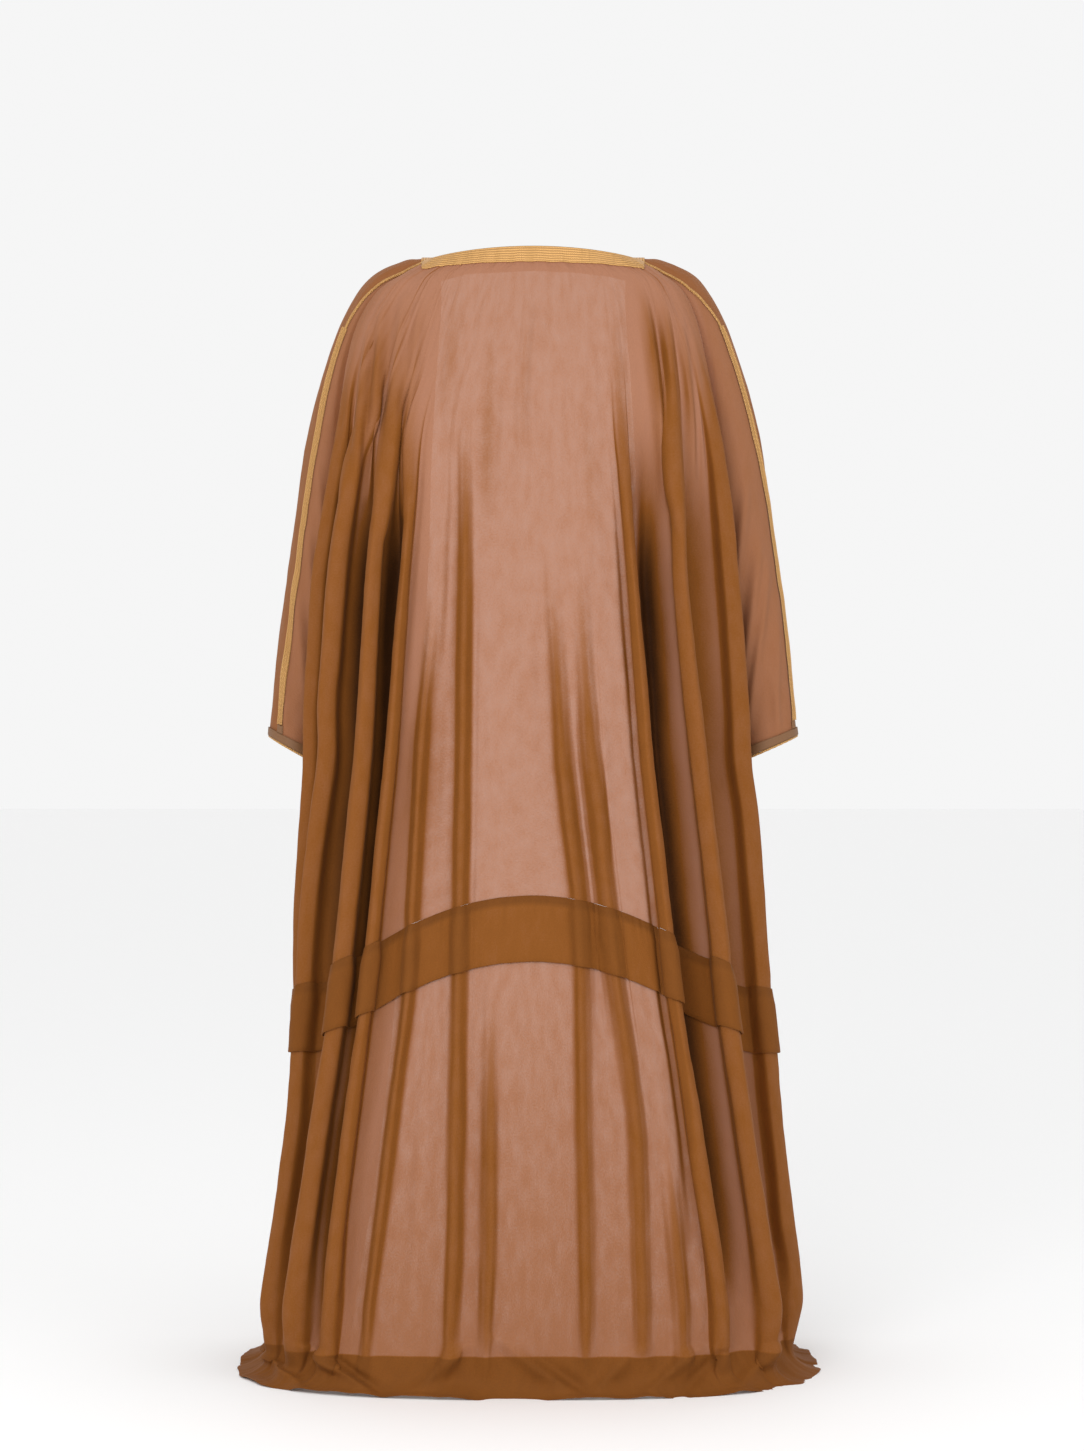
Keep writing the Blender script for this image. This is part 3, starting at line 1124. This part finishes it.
class BISHT_OT_braids(bpy.types.Operator):
    """Make the gold cord and flat braid down the outside of each arm, and the brown tab at its end"""

    bl_idname = "bisht.braids"
    bl_label = "Seam braids and tabs"

    def execute(self, context):
        trim = context.scene.bisht_trim
        for side, word in ((1, "left"), (-1, "right")):
            sleeve = surfaces[f"sleeve_{word}"]
            levels = np.arange(len(ARM_LEVELS)) * ROWS_A_LEVEL
            line = (levels, np.array(SEAM_COLUMNS[word]) * POINTS_A_FOLD)
            level = ROWS_A_LEVEL
            last = (len(ARM_LEVELS) - 1) * level
            points, places = seam_strip(sleeve, side, line, (0.0, CORD_ENDS * level), trim.cord_width, 0.0022, 1, 0.0006)
            cord = place_mesh(f"seam_cord_{word}", points, places)
            finish_piece(cord, finishes["braid"], "Gold thread", f"seam_braid_{word}")
            foot = last - TAB_SHARE * level
            points, places = seam_strip(sleeve, side, line, (CORD_ENDS * level, foot), trim.braid_width, 0.0016, 2, 0.0006)
            braid = place_mesh(f"seam_braid_{word}_woven", points, places)
            finish_piece(braid, finishes["braid"], "Gold thread", f"seam_braid_{word}")
            self.tab(sleeve, line, word, (foot + 0.2, last - BINDING_SHARE * level - 0.2))
        return {"FINISHED"}

    def tab(self, sleeve, line, word, rows):
        points, places = [], []
        for row in np.linspace(*rows, 14):
            column = np.interp(row, *line)
            c = int(column)
            whole = min(int(row), len(sleeve.points) - 2)
            girth = np.linalg.norm(sleeve.points[whole, c + 1] - sleeve.points[whole, c])
            cross_line = []
            for across in np.linspace(-0.5, 0.5, 9):
                round_off = 0.0022 * math.sqrt(max(0.0, 1 - (2 * across) ** 4))
                cross_line.append(sleeve.at(row, column + across * TAB_WIDTH / girth, BRAID_OFF + round_off))
            points.append(cross_line)
            places.append([(a * TAB_WIDTH, row * 0.005) for a in np.linspace(-0.5, 0.5, 9)])
        tab = place_mesh(f"tab_{word}_twill", np.array(points), np.array(places))
        finish_piece(tab, finishes["binding"], "Brown binding", f"tab_{word}")


class BISHT_OT_wrists(bpy.types.Operator):
    """Make the brown binding and the gold piping round each wrist opening"""

    bl_idname = "bisht.wrists"
    bl_label = "Wrist bindings and pipings"

    def execute(self, context):
        trim = context.scene.bisht_trim
        for word in ("left", "right"):
            sleeve = surfaces[f"sleeve_{word}"]
            last = len(sleeve.points) - 1
            columns = np.linspace(POINTS_A_FOLD, sleeve.points.shape[1] - 1 - POINTS_A_FOLD, 80)
            rows = np.linspace(last - BINDING_SHARE * ROWS_A_LEVEL, last, 6)
            points = np.array([[sleeve.at(row, column, 0.0016) for column in columns] for row in rows])
            binding = Surface(points)
            piece = place_mesh(f"wrist_binding_{word}_twill", points, flat_uv(binding))
            finish_piece(thicken(piece, trim.band_wall), finishes["binding"], "Brown binding", f"wrist_binding_{word}")
            self.piping(sleeve, word)
        return {"FINISHED"}

    def piping(self, sleeve, word):
        """A round gold cord just under the edge of the sleeve."""
        edge = sleeve.points[-1]
        share = 0.6 * POINTS_A_FOLD
        centres = [sleeve.at(len(sleeve.points) - 1, c) for c in np.linspace(share, len(edge) - 1 - share, 110)]
        centres = np.array(centres) - np.array((0.0, 0.0, 0.0018))
        run = np.concatenate(([0.0], np.cumsum(np.linalg.norm(np.diff(centres, axis=0), axis=1))))
        ahead = unit(np.gradient(centres, axis=0))
        up = np.array((0.0, 0.0, 1.0))
        points, places = [], []
        for centre, direction, distance in zip(centres, ahead, run):
            side = unit(np.cross(direction, up))
            rise = unit(np.cross(side, direction))
            ring = []
            for turn in np.linspace(0, math.tau, 11):
                radius = 0.00165 * (1 + 0.10 * math.sin(distance * math.tau / 0.0032 + turn))
                ring.append(centre + radius * (math.cos(turn) * side + math.sin(turn) * rise))
            points.append(ring)
            places.append([(distance, turn * 0.0005) for turn in range(11)])
        piece = place_mesh(f"wrist_piping_{word}_cord", np.array(points), np.array(places))
        close_tube()
        finish_piece(piece, finishes["braid"], "Gold thread", f"wrist_piping_{word}")


# Each sheet's cut before it was worn: its widest row and longest column, measured along the worn cloth, and its
# area in square metres. The facing is a curved strip, given as the rectangle of its mean width and depth.
Cut = namedtuple("Cut", "piece width length area held rests_on")


class BISHT_OT_declare(bpy.types.Operator):
    """State each sheet's flat cut"""

    bl_idname = "bisht.declare"
    bl_label = "Flat cuts"

    def execute(self, context):
        return {"FINISHED"}


class BISHT_OT_stage(bpy.types.Operator):
    """Set the pale floor, the soft light and the camera"""

    bl_idname = "bisht.stage"
    bl_label = "Stage"

    def execute(self, context):
        stage = context.scene.bisht_stage
        bpy.ops.object.select_all(action="DESELECT")
        bpy.ops.mesh.primitive_plane_add(size=60.0, location=(0.0, 0.0, FLOOR - SHOULDER_HEIGHT))
        floor = context.object
        floor.name = "floor"
        material, _, shader = new_material("Pale floor")
        shader.inputs["Base Color"].default_value = (*stage.floor_colour, 1.0)
        shader.inputs["Roughness"].default_value = 0.8
        floor.data.materials.append(material)

        world = bpy.data.worlds.new("Even room light")
        world.use_nodes = True
        background = world.node_tree.nodes["Background"]
        background.inputs["Color"].default_value = (1.0, 1.0, 1.0, 1.0)
        background.inputs["Strength"].default_value = stage.world_light
        context.scene.world = world

        for name, place, size, power in (
            ("key", (0.7, 3.1, 0.6), 1.6, stage.key_light),
            ("fill", (-2.4, 2.6, 0.5), 2.4, stage.fill_light),
        ):
            bpy.ops.object.light_add(type="AREA", location=place)
            lamp = context.object
            lamp.name = f"{name}_lamp"
            lamp.data.energy = power
            lamp.data.size = size
            aim = Vector((0.0, 0.0, -0.5)) - lamp.location
            lamp.rotation_euler = aim.to_track_quat("-Z", "Y").to_euler()

        bpy.ops.object.camera_add(location=(-0.0122, 4.5, -0.62), rotation=(math.pi / 2, 0.0, math.pi))
        camera = context.object
        camera.data.lens = 81.5
        camera.data.sensor_width = 36.0
        context.scene.camera = camera
        context.scene.cycles.transparent_max_bounces = 24
        context.scene.view_settings.view_transform = "Standard"
        return {"FINISHED"}


class BISHT_PT_panel(bpy.types.Panel):
    """Lists the pieces of the cloak"""

    bl_label = "Bisht cloak"
    bl_idname = "BISHT_PT_panel"
    bl_space_type = "VIEW_3D"
    bl_region_type = "UI"
    bl_category = "Bisht"

    def draw(self, context):
        for operator in OPERATORS:
            self.layout.operator(operator.bl_idname)
        for settings in (context.scene.bisht_cloth, context.scene.bisht_trim, context.scene.bisht_stage):
            box = self.layout.box()
            for name in settings.bl_rna.properties.keys():
                if name not in ("rna_type", "name"):
                    box.prop(settings, name)


OPERATORS = (
    BISHT_OT_stage,
    BISHT_OT_panels,
    BISHT_OT_tuck,
    BISHT_OT_hem,
    BISHT_OT_facing,
    BISHT_OT_bands,
    BISHT_OT_braids,
    BISHT_OT_wrists,
    BISHT_OT_declare,
)
CLASSES = (BishtCloth, BishtTrim, BishtStage, *OPERATORS, BISHT_PT_panel)


def register():
    for kind in CLASSES:
        bpy.utils.register_class(kind)
    bpy.types.Scene.bisht_cloth = bpy.props.PointerProperty(type=BishtCloth)
    bpy.types.Scene.bisht_trim = bpy.props.PointerProperty(type=BishtTrim)
    bpy.types.Scene.bisht_stage = bpy.props.PointerProperty(type=BishtStage)


def unregister():
    del bpy.types.Scene.bisht_stage
    del bpy.types.Scene.bisht_trim
    del bpy.types.Scene.bisht_cloth
    for kind in reversed(CLASSES):
        bpy.utils.unregister_class(kind)


def main():
    register()
    bpy.ops.bisht.stage()
    bpy.ops.bisht.panels()
    bpy.ops.bisht.tuck()
    bpy.ops.bisht.hem()
    bpy.ops.bisht.facing()
    bpy.ops.bisht.bands()
    bpy.ops.bisht.braids()
    bpy.ops.bisht.wrists()
    bpy.ops.bisht.declare()


if __name__ == "__main__":
    main()
